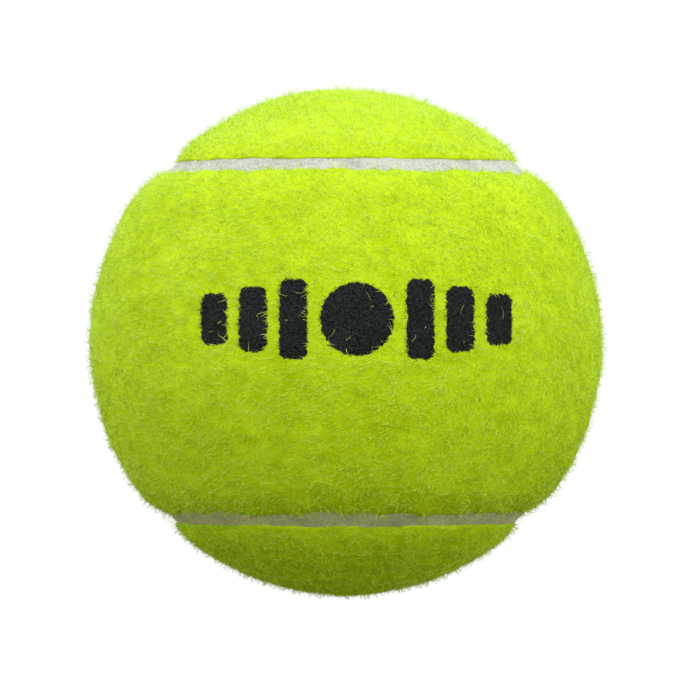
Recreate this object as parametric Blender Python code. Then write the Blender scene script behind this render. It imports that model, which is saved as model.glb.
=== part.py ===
"""A tennis ball: two moulded rubber half shells bonded into one hollow core, two dog-bone felt
panels stuck round it with rubber cement, and the cement seam that fills the line between them.

The centre of the ball is the origin. The front panel's waist faces -Y and its two round ends lie
on +X and -X. The back panel is the same piece, turned half a turn about the diagonal between +X
and +Z. The line between the panels is four half circles, each lying 45 degrees from its own axis.
"""

from math import asin, cos, pi, radians, sin, sqrt

import bmesh
import bpy
from mathutils import Vector

# Driving dimensions, in metres.
BALL_RADIUS = 0.03335
CORE_RADIUS = 0.0295
CORE_WALL = 0.0033
CLEARANCE = 0.0003
CEMENT_THICKNESS = 0.0002
BOND_THICKNESS = 0.0003
SEAM_WIDTH = 0.0023
SEAM_DEPTH = 0.0014
FELT_EDGE_RUN = 0.0038

# Dimensions that follow from them.
CORE_BORE_RADIUS = CORE_RADIUS - CORE_WALL
CEMENT_INNER_RADIUS = CORE_RADIUS + CLEARANCE
CEMENT_OUTER_RADIUS = CEMENT_INNER_RADIUS + CEMENT_THICKNESS
FELT_INNER_RADIUS = CEMENT_OUTER_RADIUS + CLEARANCE
SEAM_TOP_RADIUS = BALL_RADIUS - SEAM_DEPTH
RIM_HEIGHT = BOND_THICKNESS / 2 + CLEARANCE

# Angles at the centre of the ball, measured from the line that the seam follows.
SEAM_LATITUDE = radians(45)
FELT_EDGE_GAP = asin(SEAM_WIDTH / 2 / BALL_RADIUS)
FELT_EDGE_ARC = FELT_EDGE_RUN / BALL_RADIUS
SEAM_HALF_ARC = FELT_EDGE_GAP - CLEARANCE / BALL_RADIUS
CEMENT_EDGE_GAP = CLEARANCE / 2 / CEMENT_OUTER_RADIUS

# How finely the curves are divided.
HALF_TURN_STEPS = 20
CORE_TURN_STEPS = 36
ARC_STEPS = 5
EDGE_STEPS = 4
MERGE_DISTANCE = 1e-6
SHARP_ANGLE = radians(50)

X_AXIS = Vector((1, 0, 0))
Z_AXIS = Vector((0, 0, 1))


def clear_scene():
    for obj in list(bpy.data.objects):
        bpy.data.objects.remove(obj)


def material(name, colour, roughness):
    made = bpy.data.materials.new(name)
    made.use_nodes = True
    shader = made.node_tree.nodes["Principled BSDF"]
    shader.inputs["Base Color"].default_value = (*colour, 1)
    shader.inputs["Roughness"].default_value = roughness
    shader.inputs["Metallic"].default_value = 0
    made.diffuse_color = (*colour, 1)
    return made


def at(radius, latitude):
    """The point of the XZ plane at this radius and this angle up from +X."""
    return Vector((radius * cos(latitude), 0, radius * sin(latitude)))


def arc(radius, start, end, steps=ARC_STEPS):
    """Points along an arc of the XZ plane, both ends included."""
    return [at(radius, start + (end - start) * i / steps) for i in range(steps + 1)]


def add_outline(bm, points, closed):
    """The vertices and edges of an outline, ready to spin."""
    verts = [bm.verts.new(point) for point in points]
    edges = [bm.edges.new(pair) for pair in zip(verts, verts[1:])]
    if closed:
        edges.append(bm.edges.new((verts[-1], verts[0])))
    return verts + edges


def spin(bm, outline, axis, angle, steps=HALF_TURN_STEPS):
    """Sweeps the outline round an axis through the centre and returns its last place."""
    swept = bmesh.ops.spin(bm, geom=outline, cent=(0, 0, 0), axis=axis, angle=angle, steps=steps)
    return swept["geom_last"]


def finished_mesh(name, bm):
    bmesh.ops.remove_doubles(bm, verts=bm.verts, dist=MERGE_DISTANCE)
    bmesh.ops.recalc_face_normals(bm, faces=bm.faces)
    mesh = bpy.data.meshes.new(name)
    bm.to_mesh(mesh)
    bm.free()
    mesh.shade_smooth()
    mesh.set_sharp_from_angle(angle=SHARP_ANGLE)
    return mesh


def add_node(name, bm, slot, parent):
    """One sub-part: an object with its finished mesh and its own material."""
    mesh = finished_mesh(name, bm)
    mesh.materials.append(slot)
    obj = bpy.data.objects.new(name, mesh)
    obj.parent = parent
    bpy.context.scene.collection.objects.link(obj)
    return obj


def turn_to_back(obj):
    """Half a turn about the diagonal between +X and +Z, which swaps the two panels' places."""
    obj.rotation_mode = "AXIS_ANGLE"
    obj.rotation_axis_angle = (pi, sqrt(0.5), 0, sqrt(0.5))


def dog_bone(half_outline):
    """Half the sphere as one panel: a waist swept round -Y, and a round end swept over each side.

    The half outline runs in the XZ plane from the X axis on the panel's outer face, over its edge
    and back to the X axis on its inner face. The waist is swept from the whole outline, mirrored
    about the X axis, and the panel's ends from the half.
    """
    bm = bmesh.new()
    mirrored = [Vector((p.x, 0, -p.z)) for p in reversed(half_outline[1:-1])]
    waist = add_outline(bm, half_outline + mirrored, closed=True)
    spin(bm, waist, Z_AXIS, -pi)
    for side in (1, -1):
        end = add_outline(bm, [Vector((side * p.x, 0, p.z)) for p in half_outline], closed=False)
        spin(bm, end, X_AXIS, -pi)
    return bm


def felt_edge():
    """The top corner of a felt panel, where the nap rounds down to the seam."""
    start = SEAM_LATITUDE - FELT_EDGE_GAP - FELT_EDGE_ARC
    turns = [pi / 2 * i / EDGE_STEPS for i in range(1, EDGE_STEPS + 1)]
    return [at(SEAM_TOP_RADIUS + SEAM_DEPTH * cos(t), start + FELT_EDGE_ARC * sin(t)) for t in turns]


def felt_panel():
    edge = SEAM_LATITUDE - FELT_EDGE_GAP
    outer = arc(BALL_RADIUS, 0, edge - FELT_EDGE_ARC)
    inner = arc(FELT_INNER_RADIUS, edge, 0)
    return dog_bone(outer + felt_edge() + inner)


def panel_cement():
    """The thin coat of cement between the core and one felt panel."""
    edge = SEAM_LATITUDE - CEMENT_EDGE_GAP
    return dog_bone(arc(CEMENT_OUTER_RADIUS, 0, edge) + arc(CEMENT_INNER_RADIUS, edge, 0))


def seam_cement():
    """One closed band along the four half circles between the panels, each joined to the next."""
    bm = bmesh.new()
    low, high = SEAM_LATITUDE - SEAM_HALF_ARC, SEAM_LATITUDE + SEAM_HALF_ARC
    section = [at(FELT_INNER_RADIUS, low), at(FELT_INNER_RADIUS, high)]
    section += arc(SEAM_TOP_RADIUS, high, low, 2)
    place = add_outline(bm, section, closed=True)
    for axis, angle in ((Z_AXIS, -pi), (X_AXIS, -pi), (Z_AXIS, pi), (X_AXIS, pi)):
        place = spin(bm, place, axis, angle)
    return bm


def core_half(side):
    """A hollow half shell with a flat rim, above the XY plane for side 1 and below it for side -1."""
    bm = bmesh.new()
    outer = arc(CORE_RADIUS, pi / 2, asin(RIM_HEIGHT / CORE_RADIUS), 2 * ARC_STEPS)
    inner = arc(CORE_BORE_RADIUS, asin(RIM_HEIGHT / CORE_BORE_RADIUS), pi / 2, 2 * ARC_STEPS)
    outline = add_outline(bm, [Vector((p.x, 0, side * p.z)) for p in outer + inner], closed=False)
    spin(bm, outline, Z_AXIS, 2 * pi, CORE_TURN_STEPS)
    return bm


def core_bond():
    """The flat ring of cement between the rims of the half shells."""
    bm = bmesh.new()
    half = BOND_THICKNESS / 2
    radii_heights = ((CORE_RADIUS, -half), (CORE_RADIUS, half), (CORE_BORE_RADIUS, half), (CORE_BORE_RADIUS, -half))
    ring = add_outline(bm, [Vector((radius, 0, height)) for radius, height in radii_heights], closed=True)
    spin(bm, ring, Z_AXIS, 2 * pi, CORE_TURN_STEPS)
    return bm


clear_scene()
ball = bpy.data.objects.new("tennis_ball", None)
bpy.context.scene.collection.objects.link(ball)

felt = material("optic_yellow_felt", (0.52, 0.80, 0.02), 0.95)
seam_rubber = material("pale_seam_rubber", (0.62, 0.64, 0.55), 0.75)
cement = material("amber_rubber_cement", (0.70, 0.58, 0.36), 0.55)
core_rubber = material("dark_core_rubber", (0.10, 0.10, 0.09), 0.7)

add_node("felt_panel_front", felt_panel(), felt, ball)
turn_to_back(add_node("felt_panel_back", felt_panel(), felt, ball))
add_node("seam_cement", seam_cement(), seam_rubber, ball)
add_node("panel_cement_front", panel_cement(), cement, ball)
turn_to_back(add_node("panel_cement_back", panel_cement(), cement, ball))
add_node("core_half_upper", core_half(1), core_rubber, ball)
add_node("core_half_lower", core_half(-1), core_rubber, ball)
add_node("core_bond_ring", core_bond(), cement, ball)
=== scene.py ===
import math
from functools import partial

import bpy
import numpy as np
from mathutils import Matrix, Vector


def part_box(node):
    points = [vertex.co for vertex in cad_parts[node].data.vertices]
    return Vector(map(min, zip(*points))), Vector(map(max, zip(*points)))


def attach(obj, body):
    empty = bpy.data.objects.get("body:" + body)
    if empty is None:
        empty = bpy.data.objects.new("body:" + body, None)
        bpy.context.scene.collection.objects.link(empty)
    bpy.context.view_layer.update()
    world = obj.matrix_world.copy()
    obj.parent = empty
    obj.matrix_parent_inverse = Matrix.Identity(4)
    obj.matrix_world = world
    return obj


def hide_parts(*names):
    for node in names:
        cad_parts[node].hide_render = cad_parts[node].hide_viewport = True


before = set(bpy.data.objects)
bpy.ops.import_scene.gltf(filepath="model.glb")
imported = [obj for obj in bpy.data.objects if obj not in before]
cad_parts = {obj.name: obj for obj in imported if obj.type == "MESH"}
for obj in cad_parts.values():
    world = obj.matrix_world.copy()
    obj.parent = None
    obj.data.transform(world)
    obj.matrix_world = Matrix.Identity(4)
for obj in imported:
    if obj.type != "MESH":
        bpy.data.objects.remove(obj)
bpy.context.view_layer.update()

# --- Core half shells -------------------------------------------------------------------------
# Two bowls of dark filled rubber, moulded in a press and buffed on the outside so that cement
# grips them. They lie wholly under the felt. Only their rubber's finish is added here.

MM = 0.001


class Wire:
    """One output of a material's nodes, which takes part in sums like a number."""

    def __init__(self, tree, socket):
        self.tree = tree
        self.socket = socket

    def node(self, kind, settings, inputs, output=0):
        """Any node, from its type, its settings, and the values or wires of its sockets."""
        made = self.tree.nodes.new(kind)
        for name, value in settings.items():
            setattr(made, name, value)
        for name, value in inputs.items():
            if isinstance(value, Wire):
                self.tree.links.new(value.socket, made.inputs[name])
            else:
                made.inputs[name].default_value = value
        return Wire(self.tree, made.outputs[output])

    def maths(self, operation, *values):
        return self.node("ShaderNodeMath", {"operation": operation}, dict(enumerate(values)))

    def __add__(self, other):
        return self.maths("ADD", self, other)

    def __sub__(self, other):
        return self.maths("SUBTRACT", self, other)

    def __mul__(self, other):
        return self.maths("MULTIPLY", self, other)

    def __rsub__(self, other):
        return self.maths("SUBTRACT", other, self)

    def __pow__(self, power):
        return self.maths("POWER", self, power)

    def __abs__(self):
        return self.maths("ABSOLUTE", self)

    __radd__ = __add__
    __rmul__ = __mul__

    def axis(self, number):
        """One coordinate of a place: 0 for X, 1 for Y and 2 for Z."""
        return self.node("ShaderNodeSeparateXYZ", {}, {0: self}, output=number)

    def distance(self):
        """How far a place is from the origin."""
        return self.node("ShaderNodeVectorMath", {"operation": "LENGTH"}, {0: self}, output=1)

    def step(self, low, high):
        """0 below low, 1 above high, and a smooth rise between."""
        settings = {"interpolation_type": "SMOOTHSTEP"}
        return self.node("ShaderNodeMapRange", settings, {0: self, 1: low, 2: high, 3: 0.0, 4: 1.0})

    def noise(self, size, detail=2.0, distortion=0.0):
        """Mottling at this wire's place, its patches about size across."""
        sockets = {"Vector": self, "Scale": 1 / size, "Detail": detail, "Distortion": distortion}
        return self.node("ShaderNodeTexNoise", {}, sockets)

    def blend(self, low, high):
        """The colour from low to high, with alpha, as this wire goes from 0 to 1."""
        settings = {"data_type": "RGBA"}
        return self.node("ShaderNodeMix", settings, {0: self, 6: low, 7: high}, output=2)


def new_material(name, **constants):
    """A Principled material with these constant values, and a wire that reads Object coordinates."""
    made = bpy.data.materials.new(name)
    made.use_nodes = True
    tree = made.node_tree
    shader = tree.nodes["Principled BSDF"]
    for socket, value in constants.items():
        shader.inputs[socket.replace("_", " ")].default_value = value
    place = Wire(tree, tree.nodes.new("ShaderNodeTexCoord").outputs["Object"])
    return made, shader, place


def feed(shader, socket, wire):
    wire.tree.links.new(wire.socket, shader.inputs[socket])


def feed_bump(shader, height, depth):
    """Relief of this depth from a height between 0 and 1."""
    sockets = {"Height": height, "Distance": depth, "Strength": 1.0}
    feed(shader, "Normal", height.node("ShaderNodeBump", {}, sockets))


def rubber(name, dark, light, roughness, grain):
    """Filled rubber or cured cement: a colour mottled in patches of eight grains, and a fine grain
    that is as deep as a third of its size."""
    made, shader, place = new_material(name)
    mottle = place.noise(grain * 8, detail=4.0)
    feed(shader, "Base Color", mottle.step(0.35, 0.65).blend((*dark, 1), (*light, 1)))
    fine = place.noise(grain, detail=3.0)
    feed(shader, "Roughness", roughness + (fine - 0.5) * 0.2)
    feed_bump(shader, fine, grain * 0.3)
    return made


def dress(node, material):
    """Gives a CAD node's object its finish."""
    mesh_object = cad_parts[node]
    for slot in mesh_object.material_slots:
        slot.material = material


core_rubber = rubber(
    "core_rubber_buffed", dark=(0.05, 0.05, 0.045), light=(0.12, 0.12, 0.11), roughness=0.75, grain=0.5 * MM
)
dress("core_half_upper", core_rubber)
dress("core_half_lower", core_rubber)

# --- Cement -----------------------------------------------------------------------------------
# Amber rubber solution, brushed on the rims of the half shells and on the backs of the felt
# panels, then cured by heat. It lies under the felt too.

cement_film = rubber(
    "cured_cement_film", dark=(0.42, 0.30, 0.14), light=(0.60, 0.47, 0.26), roughness=0.5, grain=0.7 * MM
)
for node in ("core_bond_ring", "panel_cement_front", "panel_cement_back"):
    dress(node, cement_film)

# --- Felt panels ------------------------------------------------------------------------------
# Two dog-bone pieces of needled wool and nylon felt, dyed optic yellow, stretched round the core
# and bonded. Teaselling raises the nap, so the surface is softly tufted and rounds to the seam.

centre = (0, 0, 0)
x_axis = (1, 0, 0)
y_axis = (0, 1, 0)
z_axis = (0, 0, 1)
unturned = (0, *z_axis)
half_turn_to_back = (math.pi, math.sqrt(0.5), 0, math.sqrt(0.5))
seam_latitude = math.radians(45)
merge_distance = 0.002 * MM
ball_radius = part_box("felt_panel_front")[1][0]
felt_thickness = 3.05 * MM
felt_inner_radius = ball_radius - felt_thickness
rim_radius = 0.9 * MM
crown_steps = 42
shoulder_steps = 7
rim_steps = 5
inner_steps = 8
waist_steps = 95
end_steps = 70


def deselect():
    if bpy.context.object and bpy.context.object.mode == "EDIT":
        bpy.ops.object.mode_set(mode="OBJECT")
    bpy.ops.object.select_all(action="DESELECT")


def start_point(name, place):
    """A new object in edit mode that holds one selected point."""
    deselect()
    bpy.ops.mesh.primitive_plane_add(size=MM, location=place)
    bpy.ops.object.transform_apply(location=True, rotation=False, scale=False)
    bpy.ops.object.mode_set(mode="EDIT")
    bpy.ops.mesh.merge(type="CENTER")
    bpy.context.object.name = name
    return bpy.context.object


def sweep(centre, axis, angle, steps):
    """Carries the selected points round an axis, clockwise. Their last place stays selected."""
    bpy.ops.mesh.spin(steps=steps, angle=angle, center=centre, axis=axis)


def on_arc(radius, latitude):
    """The place in the XZ plane at this radius and this angle up from +X."""
    return (radius * math.cos(latitude), 0, radius * math.sin(latitude))


def places_of(piece):
    flat = np.empty(len(piece.data.vertices) * 3, np.float32)
    piece.data.vertices.foreach_get("co", flat)
    return flat.reshape(-1, 3)


def select_places(piece, test):
    """In edit mode, selects just the points whose places pass the test."""
    bpy.ops.mesh.select_all(action="DESELECT")
    bpy.ops.object.mode_set(mode="OBJECT")
    chosen = test(places_of(piece))
    ends = np.empty(len(piece.data.edges) * 2, np.int32)
    piece.data.edges.foreach_get("vertices", ends)
    piece.data.vertices.foreach_set("select", chosen)
    piece.data.edges.foreach_set("select", chosen[ends.reshape(-1, 2)].all(axis=1))
    bpy.ops.object.mode_set(mode="EDIT")


def close_up(piece):
    """Merges doubles and turns every face outwards."""
    bpy.ops.object.mode_set(mode="EDIT")
    bpy.ops.mesh.select_all(action="SELECT")
    bpy.ops.mesh.remove_doubles(threshold=merge_distance)
    bpy.ops.mesh.normals_make_consistent(inside=False)
    bpy.ops.object.mode_set(mode="OBJECT")


def apply_modifier(piece, name, kind, **settings):
    """Adds a modifier with these settings and applies it at once."""
    modifier = piece.modifiers.new(name, kind)
    for setting, value in settings.items():
        setattr(modifier, setting, value)
    deselect()
    piece.select_set(True)
    bpy.context.view_layer.objects.active = piece
    bpy.ops.object.modifier_apply(modifier=name)


def group_above(piece, name, radius):
    """A group of the piece's points that lie no deeper than this radius, give or take a rounding."""
    rounding = 0.01 * MM
    heights = np.linalg.norm(places_of(piece), axis=1)
    group = piece.vertex_groups.new(name=name)
    group.add(np.flatnonzero(heights > radius - rounding).tolist(), 1.0, "REPLACE")


def roughen(piece, name, group, size, depth, sideways=False):
    """Soft bumps about size across and depth high. Sideways ones also make the edges wavy."""
    clouds = bpy.data.textures.new(name, "CLOUDS")
    clouds.noise_scale = size
    clouds.noise_depth = 2
    settings = {"texture": clouds, "strength": depth, "vertex_group": group}
    if sideways:
        clouds.cloud_type = "COLOR"
        settings["direction"] = "RGB_TO_XYZ"
    apply_modifier(piece, name, "DISPLACE", **settings)


def felt_section(name, radius, edge_gap, shoulder_radius, shoulder_turn, rim_turn):
    """Half a panel's section, from X along its crown, over a wide shoulder and a tight rim that end
    at the edge gap beside the seam's line, down the cut edge and back to X. Returns the piece, in
    edit mode, and how far its corner lies from the centre."""
    edge = seam_latitude - math.asin(edge_gap / ball_radius)
    end_turn = shoulder_turn + rim_turn
    to_rim = shoulder_radius - rim_radius
    ahead = to_rim * math.sin(shoulder_turn) + rim_radius * math.sin(end_turn)
    height = radius - shoulder_radius
    height += to_rim * math.cos(shoulder_turn) + rim_radius * math.cos(end_turn)
    crown_end = edge - math.atan2(ahead, height)
    corner_radius = math.hypot(height, ahead)
    shoulder_middle = Vector(on_arc(radius - shoulder_radius, crown_end))
    rim_middle = shoulder_middle + Vector(on_arc(to_rim, crown_end + shoulder_turn))
    piece = start_point(name, on_arc(radius, 0))
    sweep(centre, y_axis, crown_end, crown_steps)
    sweep(shoulder_middle, y_axis, shoulder_turn, shoulder_steps)
    sweep(rim_middle, y_axis, rim_turn, rim_steps)
    inward = {"value": on_arc(felt_inner_radius - corner_radius, edge)}
    bpy.ops.mesh.extrude_region_move(TRANSFORM_OT_translate=inward)
    sweep(centre, y_axis, -edge, inner_steps)
    return piece, corner_radius


def felt_panel(name, turn, **section):
    """A dog bone: a quarter swept from its section, mirrored, turned into place and tufted. Its
    section is swept round Z for the waist, and from there round X for the round end."""
    piece, corner_radius = felt_section(name, **section)
    bpy.ops.mesh.select_all(action="SELECT")
    sweep(centre, z_axis, math.pi / 2, waist_steps)
    select_places(piece, lambda places: np.abs(places[:, 1]) < merge_distance / 2)
    sweep(centre, x_axis, math.pi / 2, end_steps)
    bpy.ops.object.mode_set(mode="OBJECT")
    close_up(piece)
    halves = {"use_axis": (True, False, True), "merge_threshold": merge_distance}
    apply_modifier(piece, "mirror", "MIRROR", **halves)
    close_up(piece)
    piece.rotation_mode = "AXIS_ANGLE"
    piece.rotation_axis_angle = turn
    bpy.ops.object.transform_apply(location=False, rotation=True, scale=False)
    group_above(piece, "nap", corner_radius)
    roughen(piece, "unevenness", "nap", size=9 * MM, depth=0.5 * MM)
    roughen(piece, "tufts", "nap", size=1.6 * MM, depth=0.22 * MM)
    roughen(piece, "waves", "nap", size=2.6 * MM, depth=0.6 * MM, sideways=True)
    bpy.ops.object.shade_smooth_by_angle(angle=math.radians(60))
    return piece


felt_deep = (0.42, 0.60, 0.0)
felt_pale = (0.58, 0.80, 0.01)
# Painted shade: low on its edge, next to the seam, the felt takes this share of its deep colour.
edge_shade_share = 0.85
edge_shade_radius = ball_radius - 1.0 * MM


def felt_colour(place):
    """Dyed felt, mottled in broad patches, in tufts and most from fibre to fibre, and a little
    darker low on its edge beside the seam, as painted shade in the groove. Also returns its finest
    mottling."""
    patches = place.noise(7 * MM)
    tufts = place.noise(1.6 * MM, detail=3.0)
    fine = place.noise(0.22 * MM, detail=2.0, distortion=1.5)
    mottle = patches * 0.25 + tufts * 0.2 + fine * 0.55
    colour = mottle.step(0.38, 0.62).blend((*felt_deep, 1), (*felt_pale, 1))
    # Painted shade: felt that lies lower than this radius, in the seam's groove, is darkened.
    unshaded = (place.distance() - edge_shade_radius).step(-0.35 * MM, 0.25 * MM)
    edge_shade = [channel * edge_shade_share for channel in felt_deep]
    return unshaded.blend((*edge_shade, 1), colour), fine


front_panel = felt_panel(
    "felt_front",
    turn=unturned,
    radius=ball_radius + 0.05 * MM,
    edge_gap=0.85 * MM,
    shoulder_radius=10 * MM,
    shoulder_turn=math.radians(30),
    rim_turn=math.radians(30),
)
back_panel = felt_panel(
    "felt_back",
    turn=half_turn_to_back,
    radius=ball_radius - 0.35 * MM,
    edge_gap=1.2 * MM,
    shoulder_radius=10 * MM,
    shoulder_turn=math.radians(19),
    rim_turn=math.radians(24),
)

# --- Printed mark -----------------------------------------------------------------------------
# Dark ink pressed into the nap of the front panel: a disc between upright rounded bars that get
# shorter outwards. It has no thickness of its own, so it is a colour of the felt and its fibres.

ink_deep = (0.005, 0.008, 0.007)
ink_pale = (0.024, 0.032, 0.031)
ink_spread = 0.12 * MM
ink_wobble = 0.9 * MM
mark_centre = (1.4 * MM, 2.9 * MM)
mark_shapes = (
    (0.0, 4.7 * MM, 4.7 * MM, 4.7 * MM),
    (8.1 * MM, 1.8 * MM, 5.1 * MM, 1.1 * MM),
    (13.2 * MM, 1.8 * MM, 4.2 * MM, 1.1 * MM),
    (18.2 * MM, 1.7 * MM, 3.3 * MM, 1.1 * MM),
)


def mark_distance(across, up, larger, smaller):
    """How far a place lies outside the mark's shapes, which are (across, half width, half height,
    corner radius) and lie on both sides of the middle."""
    nearest = 1.0
    for middle, half_width, half_height, corner in mark_shapes:
        beside = larger(abs(abs(across) - middle) - (half_width - corner), 0.0)
        above = larger(abs(up) - (half_height - corner), 0.0)
        nearest = smaller((beside * beside + above * above) ** 0.5 - corner, nearest)
    return nearest


def felt_surface(name, printed):
    """The felt under the loose fibres, with the mark's ink on it where it is printed."""
    made, shader, place = new_material(name, Roughness=0.9, Specular_IOR_Level=0.1)
    colour, fine = felt_colour(place)
    if printed:
        wobble = (place.noise(0.5 * MM, detail=3.0) - 0.5) * ink_wobble
        across = place.axis(0) - mark_centre[0]
        up = place.axis(2) - mark_centre[1]
        larger = partial(across.maths, "MAXIMUM")
        smaller = partial(across.maths, "MINIMUM")
        outside = mark_distance(across, up, larger, smaller) + wobble
        on_front = across.maths("LESS_THAN", place.axis(1), 0.0)
        inked = (0.0 - outside).step(-ink_spread, ink_spread) * on_front
        ink = place.noise(0.3 * MM, detail=3.0).step(0.4, 0.7).blend((*ink_deep, 1), (*ink_pale, 1))
        colour = inked.blend(colour, ink)
    feed(shader, "Base Color", colour)
    relief = place.noise(0.9 * MM, detail=4.0, distortion=1.0) * 0.4 + fine * 0.6
    feed_bump(shader, relief, 0.25 * MM)
    return made


front_panel.data.materials.append(felt_surface("printed_yellow_felt", True))
back_panel.data.materials.append(felt_surface("yellow_felt", False))

# --- Seam -------------------------------------------------------------------------------------
# Pale vulcanising cement painted on the felt's cut edges, which the mould flows into one closed
# line. It lies below the nap, runs in four half circles, and is matte and slightly uneven.

seam_half_width = 1.6 * MM
seam_half_arc = math.asin(seam_half_width / ball_radius)
seam_top_radius = ball_radius - 1.0 * MM
seam_bottom_steps = 4
seam_top_steps = 10
seam_turn_steps = 110
seam_deep = (0.33, 0.36, 0.25)
seam_pale = (0.51, 0.54, 0.38)


def seam_band():
    """The section from its bottom round to its flat top, carried along the four half circles. It
    runs a little way under the felt on both sides."""
    low = seam_latitude - seam_half_arc
    high = seam_latitude + seam_half_arc
    piece = start_point("seam_line", on_arc(felt_inner_radius, low))
    sweep(centre, y_axis, 2 * seam_half_arc, seam_bottom_steps)
    rise = seam_top_radius - felt_inner_radius
    bpy.ops.mesh.extrude_region_move(TRANSFORM_OT_translate={"value": on_arc(rise, high)})
    sweep(centre, y_axis, -2 * seam_half_arc, seam_top_steps)
    bpy.ops.mesh.extrude_region_move(TRANSFORM_OT_translate={"value": on_arc(-rise, low)})
    bpy.ops.mesh.select_all(action="SELECT")
    bpy.ops.mesh.remove_doubles(threshold=merge_distance)
    for axis, angle in ((z_axis, math.pi), (x_axis, math.pi), (z_axis, -math.pi), (x_axis, -math.pi)):
        sweep(centre, axis, angle, seam_turn_steps)
    bpy.ops.object.mode_set(mode="OBJECT")
    close_up(piece)
    group_above(piece, "top", seam_top_radius)
    roughen(piece, "ripples", "top", size=1.1 * MM, depth=0.22 * MM)
    bpy.ops.object.shade_smooth_by_angle(angle=math.radians(50))
    return piece


def seam_surface():
    """Cured cement, speckled finely and stained in broader patches."""
    made, shader, place = new_material("pale_seam_cement", Roughness=0.85)
    specks = place.noise(0.35 * MM, detail=4.0)
    stains = place.noise(2.5 * MM, detail=3.0)
    mottle = (specks * 0.6 + stains * 0.4).step(0.36, 0.60)
    feed(shader, "Base Color", mottle.blend((*seam_deep, 1), (*seam_pale, 1)))
    feed_bump(shader, specks, 0.12 * MM)
    return made


seam_line = seam_band()
seam_line.data.materials.append(seam_surface())
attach(seam_line, "root")
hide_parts("seam_cement")

# --- Nap and loose fibres ---------------------------------------------------------------------
# Wool and nylon fibres that teaselling pulls out of the felt: a short nap combed along the panel,
# hairs, a few long curly strands and flyaways. Each is a thin closed tube that tapers to a point,
# rooted just under the felt's surface. The print stains and flattens those in the mark.

full_turn = 2 * math.pi
hidden_root = 0.12 * MM
nap_bottom = ball_radius - 1.25 * MM
drift_waves = 8
curl_waves = 5
tube_sides = 3
tip_share = 0.25
# Painted shade: the share of each fibre's tint that is left at its root, deep in the nap.
root_painted_shade = 0.4


def length_of(vectors):
    """The length of each vector, kept as a column."""
    return np.linalg.norm(vectors, axis=-1, keepdims=True)


def unit(vectors):
    return vectors / np.maximum(length_of(vectors), 1e-12)


def nap_places(piece, count, rng):
    """Places spread evenly over a panel's nap, and the outward directions there."""
    mesh = piece.data
    mesh.calc_loop_triangles()
    corners = np.empty(len(mesh.loop_triangles) * 3, np.int32)
    mesh.loop_triangles.foreach_get("vertices", corners)
    first, second, third = places_of(piece)[corners.reshape(-1, 3)].transpose(1, 0, 2).astype(float)
    across = np.cross(second - first, third - first)
    area = length_of(across)[:, 0]
    area[length_of((first + second + third) / 3)[:, 0] < nap_bottom] = 0
    chosen = rng.choice(len(area), count, p=area / area.sum())
    first, second, third, across = first[chosen], second[chosen], third[chosen], across[chosen]
    along, beyond = rng.random((2, count, 1))
    folded = along + beyond > 1
    along = np.where(folded, 1 - along, along)
    beyond = np.where(folded, 1 - beyond, beyond)
    places = first + (second - first) * along + (third - first) * beyond
    return places, unit(across)


def drift(places, size, rng):
    """A direction at each place that changes smoothly over about this size."""
    total = np.zeros_like(places)
    for _ in range(drift_waves):
        phase = rng.uniform(0, full_turn)
        total += np.sin(places @ (rng.normal(size=3) / size) + phase)[:, None] * rng.normal(size=3)
    return unit(total)


def lie_of_nap(places, outward, comb, stray, rng):
    """Which way each fibre leans: round the comb's axis, with its neighbours, with its tuft, and a
    stray share of its own."""
    leaning = drift(places, 6 * MM, rng) + 0.6 * drift(places, 0.8 * MM, rng) + np.array(comb)
    leaning += stray * rng.normal(size=places.shape)
    return unit(np.cross(outward, leaning))


def grow(places, outward, leaning, reach, lift, bow, turn, curl, points, rng):
    """Spines that reach along the surface and curl on it, and rise to lift and come down again."""
    share = np.linspace(0, 1, points)
    phase = rng.uniform(0, full_turn, (len(places), 1))
    waves = np.sin(curl_waves * share + phase) - np.sin(phase)
    heading = turn[:, None] * share + curl[:, None] * waves
    middle = (heading[:, 1:] + heading[:, :-1]) / 2
    steps = reach[:, None] / (points - 1)
    ahead = np.cumsum(np.cos(middle) * steps, axis=1)
    aside = np.cumsum(np.sin(middle) * steps, axis=1)
    ahead = np.pad(ahead, ((0, 0), (1, 0)))[..., None]
    aside = np.pad(aside, ((0, 0), (1, 0)))[..., None]
    beside = np.cross(outward, leaning)[:, None]
    spread = places[:, None] + leaning[:, None] * ahead + beside * aside
    rise = (lift[:, None] + hidden_root) * np.sin(bow * share) / math.sin(min(bow, math.pi / 2))
    height = length_of(places)[:, None] - hidden_root + rise[..., None]
    return unit(spread) * height


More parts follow.
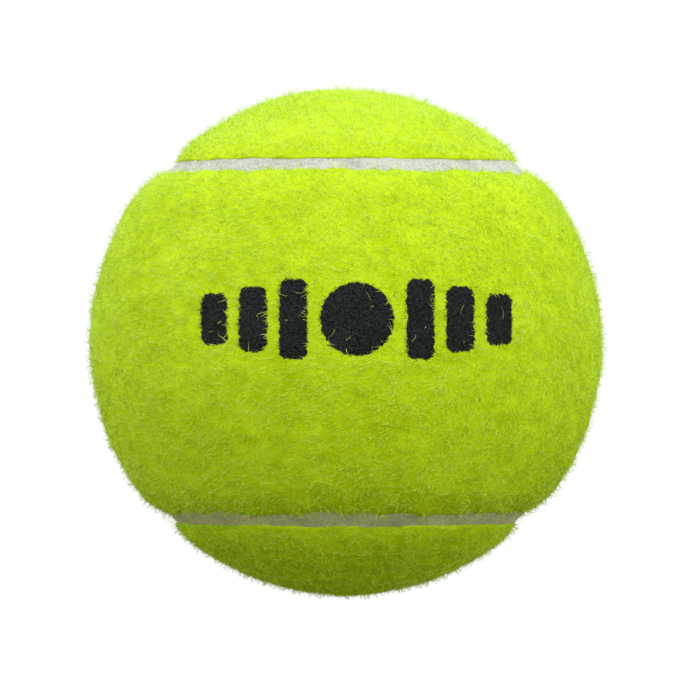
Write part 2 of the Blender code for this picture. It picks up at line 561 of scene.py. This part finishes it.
def tubes(name, spines, widths, tints, material):
    """One mesh of closed three-sided tubes along these spines. Each is its full width at its root
    and tapers to a pointed tip; its tint darkens towards the root as painted shade deep in the nap."""
    count, points = spines.shape[:2]
    share = np.linspace(0, 1, points)[:-1]
    ahead = unit(np.gradient(spines, axis=1))[:, :-1]
    side = unit(np.cross(ahead, unit(spines[:, :-1])))
    over = np.cross(ahead, side)
    taper = (1 - (1 - tip_share) * share) / 2
    radius = (widths[:, None] * taper)[..., None]
    corners = [full_turn * k / tube_sides for k in range(tube_sides)]
    rings = [spines[:, :-1] + radius * (math.cos(a) * side + math.sin(a) * over) for a in corners]
    rings = np.stack(rings, axis=2).reshape(count, -1, 3)
    tips = spines[:, -1:]
    vertices = np.concatenate((rings, tips), axis=1)
    last = (points - 2) * tube_sides
    triangles = [(0, 2, 1)]
    for ring in range(0, last, tube_sides):
        beyond = ring + tube_sides
        for k in range(tube_sides):
            following = (k + 1) % tube_sides
            triangles.append((ring + k, ring + following, beyond + following))
            triangles.append((ring + k, beyond + following, beyond + k))
    tip = last + tube_sides
    triangles += [(last + k, last + (k + 1) % tube_sides, tip) for k in range(tube_sides)]
    own = vertices.shape[1]
    faces = (np.arange(count)[:, None, None] * own + np.array(triangles)).reshape(-1, 3)
    mesh = bpy.data.meshes.new(name)
    mesh.vertices.add(count * own)
    mesh.vertices.foreach_set("co", vertices.ravel())
    mesh.loops.add(faces.size)
    mesh.loops.foreach_set("vertex_index", faces.ravel())
    mesh.polygons.add(len(faces))
    mesh.polygons.foreach_set("loop_start", np.arange(0, faces.size, 3))
    tint = mesh.attributes.new("tint", "FLOAT", "POINT")
    # Painted shade: the tint falls from the tip to the root, where the fibre lies deep in the nap.
    root_to_tip_shade = root_painted_shade + (1 - root_painted_shade) * np.append(np.repeat(share, tube_sides), 1)
    tint.data.foreach_set("value", (tints[:, None] * root_to_tip_shade).ravel())
    mesh.update(calc_edges=True)
    mesh.shade_smooth()
    mesh.materials.append(material)
    made = bpy.data.objects.new(name, mesh)
    bpy.context.scene.collection.objects.link(made)
    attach(made, "root")
    return made


def fibre_surface(name, dark, light, sheen):
    """Dyed fibres: each has its own tint, and the tint shifts a little in patches."""
    made, shader, place = new_material(
        name,
        Roughness=0.75,
        Specular_IOR_Level=0.15,
        Sheen_Weight=sheen,
        Sheen_Roughness=0.4,
        Sheen_Tint=(0.85, 1, 0.5, 1),
    )
    own = place.node("ShaderNodeAttribute", {"attribute_name": "tint"}, {}, output=2)
    tint = own * 0.7 + place.noise(5 * MM, detail=3.0).step(0.3, 0.7) * 0.3
    feed(shader, "Base Color", tint.blend((*dark, 1), (*light, 1)))
    return made


# The pale fibres' light colour is partly their dyed tone and partly a painted highlight: its whitish blue
# stands in for sheen on lit fibres.
pale_fibre = fibre_surface("pale_fibres", dark=(0.60, 0.92, 0.01), light=(0.84, 1.0, 0.22), sheen=0.3)
deep_fibre = fibre_surface("deep_fibres", dark=(0.44, 0.62, 0.0), light=(0.68, 0.94, 0.03), sheen=0.2)
loose_fibre = fibre_surface("loose_fibres", dark=(0.50, 0.74, 0.01), light=(0.72, 0.98, 0.10), sheen=0.2)
ink_fibre = fibre_surface("inked_fibres", dark=ink_deep, light=(0.075, 0.10, 0.095), sheen=0.05)


def inside_mark(places):
    """True where a place on the front lies in the mark."""
    across = places[:, 0] - mark_centre[0]
    up = places[:, 2] - mark_centre[1]
    outside = mark_distance(across, up, np.maximum, np.minimum)
    return (outside < 0) & (places[:, 1] < 0)


def mm(least, most):
    """Both ends of a range, given in millimetres."""
    return least * MM, most * MM


def fibre_kind(
    panel, comb, seed, count, reach, lift, width, points=2, bow=1.4, turn=0.0, curl=0.0, stray=0.6
):
    """The spines, widths and tints of one kind of fibre all over a panel, and which are in the
    mark: by their roots where they are short, and by any of their points where they are long.
    Reach, lift and width are ranges, and each fibre has its own between their ends."""
    rng = np.random.default_rng(seed)
    places, outward = nap_places(panel, count, rng)
    leaning = lie_of_nap(places, outward, comb, stray, rng)
    reaches, lifts, widths = (rng.uniform(*ends, count) for ends in (reach, lift, width))
    turns, curls = (rng.normal(0, spread, count) for spread in (turn, curl))
    spines = grow(places, outward, leaning, reaches, lifts, bow, turns, curls, points, rng)
    tints = rng.random(count) ** 0.5
    tested = spines if points > 3 else places[:, None]
    inked = inside_mark(tested.reshape(-1, 3)).reshape(count, -1).any(axis=1)
    return spines, widths, tints, inked


fibre_kinds = {
    "nap_pale": dict(
        count=17000, reach=mm(0.6, 1.4), lift=mm(0.20, 0.50), width=mm(0.05, 0.09), points=3
    ),
    "nap_deep": dict(
        count=16000, reach=mm(0.5, 1.1), lift=mm(0.05, 0.35), width=mm(0.07, 0.12), points=3
    ),
    "down": dict(
        count=30000, reach=mm(0.3, 0.8), lift=mm(0.05, 0.30), width=mm(0.05, 0.09), stray=1.2
    ),
    "hairs": dict(
        count=4000, reach=mm(1.2, 3.0), lift=mm(0.10, 0.40), width=mm(0.04, 0.06), points=6,
        bow=2.2, turn=0.8, curl=0.35,
    ),
    "strands": dict(
        count=140, reach=mm(4, 11), lift=mm(0.25, 0.7), width=mm(0.045, 0.055), points=15,
        bow=2.6, turn=2.6, curl=0.6, stray=2.0,
    ),
    "flyaways": dict(
        count=4500, reach=mm(0.4, 1.3), lift=mm(0.35, 0.95), width=mm(0.06, 0.09), points=6,
        bow=2.8, turn=2.0, curl=0.9, stray=2.0,
    ),
}
fibre_finishes = {
    "nap_pale": pale_fibre,
    "nap_deep": deep_fibre,
    "down": deep_fibre,
    "hairs": pale_fibre,
    "strands": pale_fibre,
    "flyaways": loose_fibre,
}
crossing_kinds = ("hairs", "flyaways")
crossing_every = 12
front_comb = z_axis
back_comb = x_axis


def cover(panel, end, comb, seed):
    """All the loose fibres of one panel. End is front or back, for their names. None lies over the
    mark but every twelfth of the hairs and flyaways."""
    grown = []
    for number, (kind, measures) in enumerate(fibre_kinds.items()):
        spines, widths, tints, inked = fibre_kind(panel, comb, seed + number, **measures)
        crossing = (np.arange(len(inked)) % crossing_every == 0) & (kind in crossing_kinds)
        keep = ~inked | crossing
        name = f"{kind}_{end}"
        grown.append(tubes(name, spines[keep], widths[keep], tints[keep], fibre_finishes[kind]))
    return grown


def ink_nap():
    """The mark's own fibres: short, pressed flat by the print and stuck together with ink. They are
    grown all over the panel, and those in the mark are kept."""
    measures = dict(
        count=120000, reach=mm(0.3, 0.8), lift=mm(0.05, 0.25), width=mm(0.07, 0.11), points=3, stray=1.2
    )
    spines, widths, tints, inked = fibre_kind(front_panel, front_comb, seed=71, **measures)
    return tubes("ink_nap", spines[inked], widths[inked], tints[inked] ** 2, ink_fibre)


front_fibres = [*cover(front_panel, "front", front_comb, seed=11), ink_nap()]
back_fibres = cover(back_panel, "back", back_comb, seed=41)

for panel, node, cement, fibres in (
    (front_panel, "felt_panel_front", "panel_cement_front", front_fibres),
    (back_panel, "felt_panel_back", "panel_cement_back", back_fibres),
):
    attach(panel, "root")
    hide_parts(node)

# --- Studio -----------------------------------------------------------------------------------
# A plain pale floor well below the ball, a white room that is brighter above than below, and two
# large soft lamps, one in front and one on the right. The camera looks straight at the front panel.

floor_height = -0.12
floor_radius = 1.5

deselect()
bpy.ops.mesh.primitive_circle_add(
    vertices=96, radius=floor_radius, fill_type="NGON", location=(0, 0, floor_height)
)
floor = bpy.context.object
floor.name = "floor"
bpy.ops.object.transform_apply(location=True, rotation=False, scale=False)
plain = new_material("plain_floor", Base_Color=(0.85, 0.85, 0.85, 1), Roughness=0.9)[0]
floor.data.materials.append(plain)
floor.visible_diffuse = False
floor.visible_glossy = False

level_glow = 0.93
glow_rise = 1.07
least_glow = 0.02
low_tint = (1, 1, 0.45, 1)
high_tint = (1, 1, 1.5, 1)
white = (1, 1, 1, 1)

world = bpy.data.worlds.new("studio")
bpy.context.scene.world = world
world.use_nodes = True
tree = world.node_tree
background = tree.nodes["Background"]
direction = Wire(tree, tree.nodes.new("ShaderNodeTexCoord").outputs["Generated"])
height = direction.axis(2)
glow = height.maths("MAXIMUM", height * glow_rise + level_glow, least_glow)
backdrop = height.node("ShaderNodeLightPath", {}, {})
feed(background, "Strength", backdrop * (1.0 - glow) + glow)
tint = height.step(-0.2, 0.9).blend(low_tint, high_tint)
feed(background, "Color", backdrop.blend(tint, white))


def soft_light(name, direction, distance, size, share):
    """A large square lamp that faces the ball. Share is what it adds where the surface faces it."""
    data = bpy.data.lights.new(name, "AREA")
    data.shape = "SQUARE"
    data.size = size
    data.energy = share * (math.pi * distance) ** 2
    lamp = bpy.data.objects.new(name, data)
    bpy.context.scene.collection.objects.link(lamp)
    place = Vector(direction).normalized() * distance
    lamp.location = place
    lamp.rotation_euler = place.to_track_quat("Z", "Y").to_euler()
    lamp.visible_camera = False


soft_light("right", direction=(0.9, -0.4, 0.1), distance=1.0, size=0.8, share=0.17)
soft_light("front", direction=(0, -1, 0.2), distance=1.2, size=1.0, share=0.11)

camera_distance = 1.0
aim_across = 0.52 * MM
aim_up = -1.01 * MM

camera_data = bpy.data.cameras.new("camera")
camera_data.lens = 391.5
camera_data.sensor_width = 36
camera = bpy.data.objects.new("camera", camera_data)
bpy.context.scene.collection.objects.link(camera)
camera.location = (aim_across, -camera_distance, aim_up)
camera.rotation_euler = (math.pi / 2, 0, 0)
bpy.context.scene.camera = camera
bpy.context.scene.view_settings.view_transform = "Standard"
